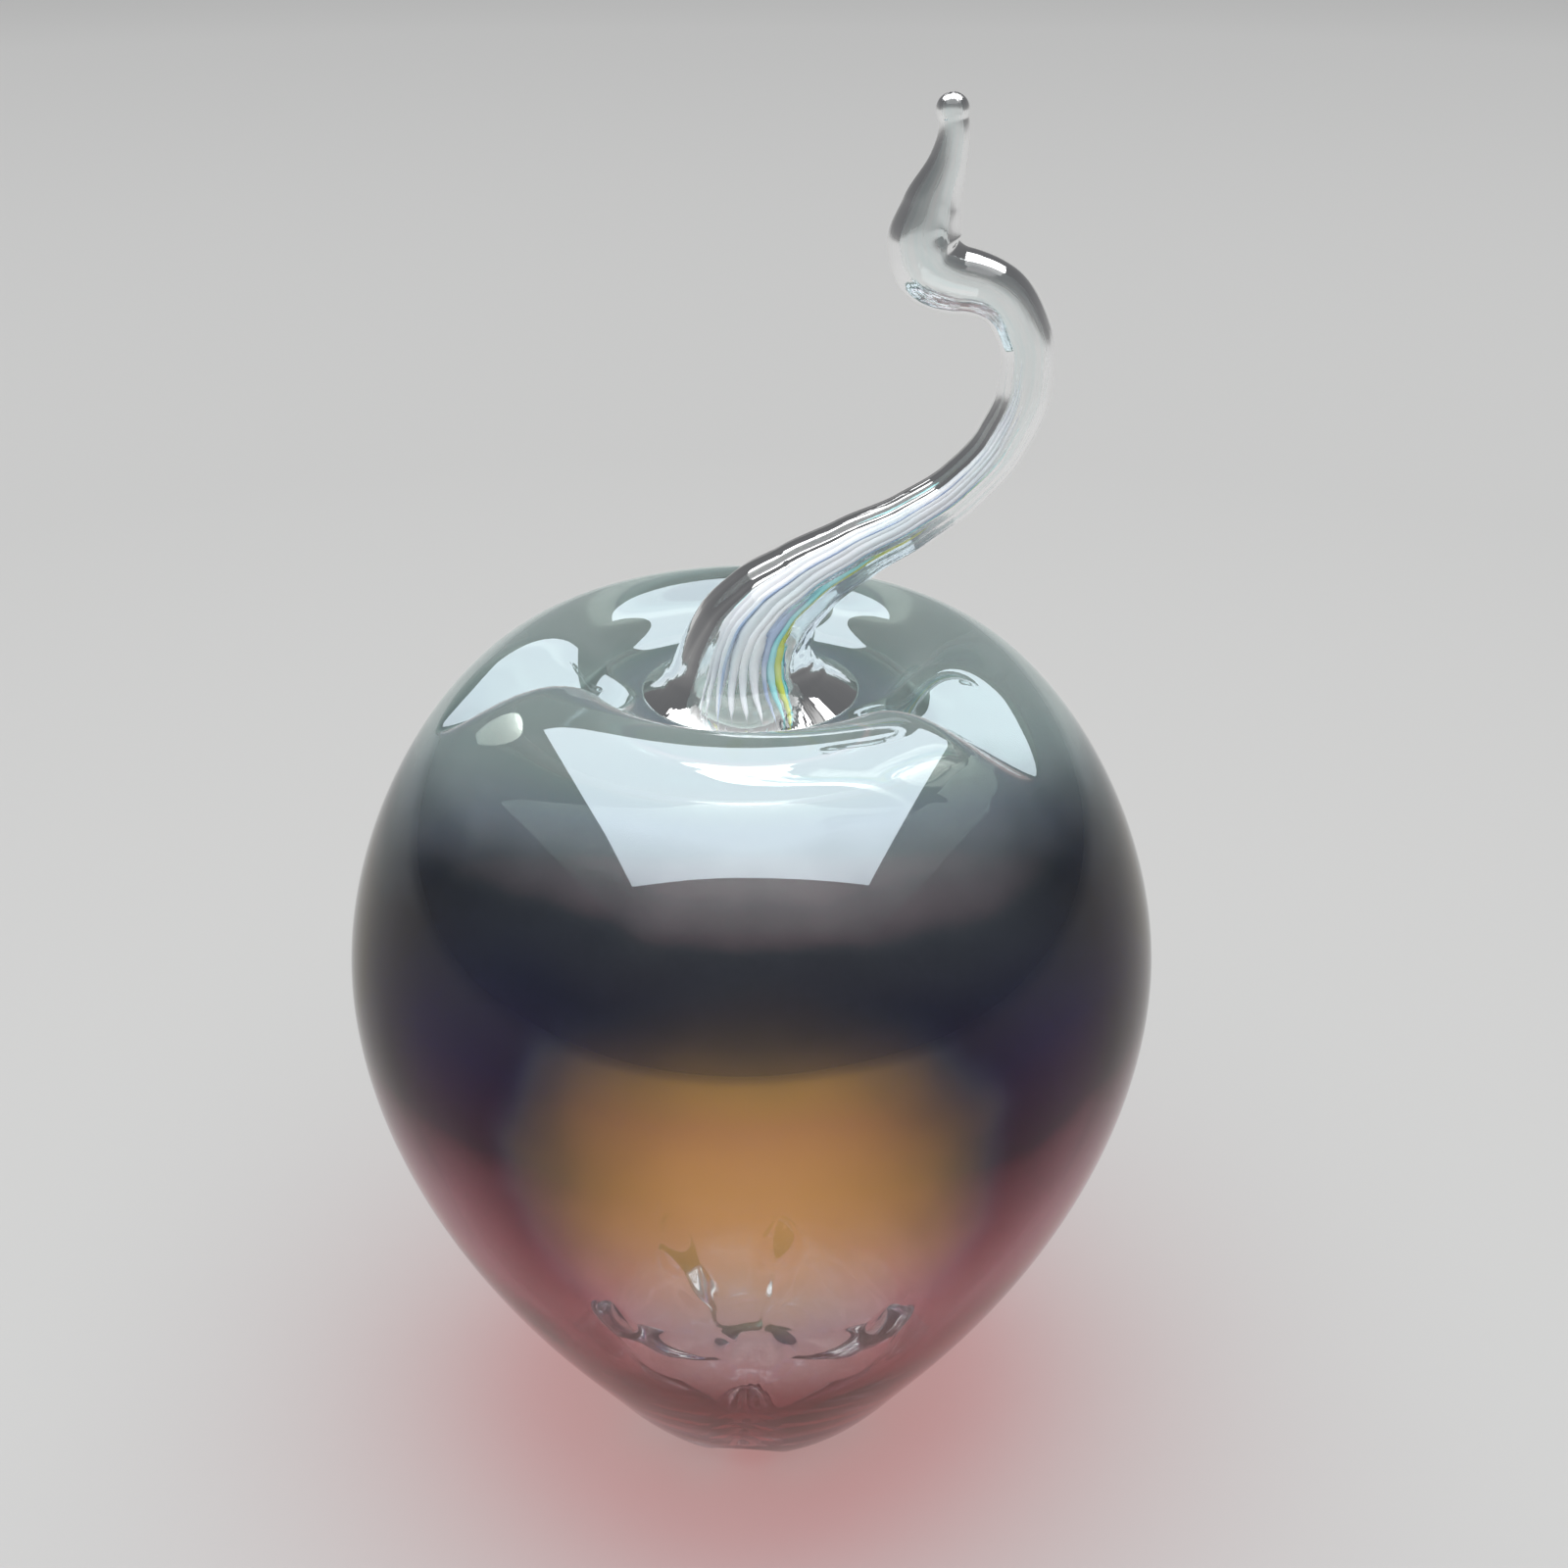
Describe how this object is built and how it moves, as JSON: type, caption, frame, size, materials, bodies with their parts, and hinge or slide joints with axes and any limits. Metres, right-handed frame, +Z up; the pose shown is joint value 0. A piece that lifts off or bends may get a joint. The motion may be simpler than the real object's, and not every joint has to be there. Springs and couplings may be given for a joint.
{
  "type": "art glass apple",
  "caption": "Hollow blown glass apple with a crater, pressed creases and ground feet, and a solid bent stem whose flared foot is fused over the blow hole.",
  "frame": {"origin": "on the body's axis, at the surface that the apple stands on", "axes": "+Z up along the body's axis; the stem leans towards +X"},
  "size_m": [0.09, 0.09, 0.1602],
  "materials": {
    "body_glass": "lustred gloss, smoky teal at the shoulder to burgundy at the base",
    "stem_glass": "clear gloss with drawn streaks"
  },
  "bodies": {
    "root": {"body": "body_glass", "stem": "stem_glass"}
  },
  "joints": []
}
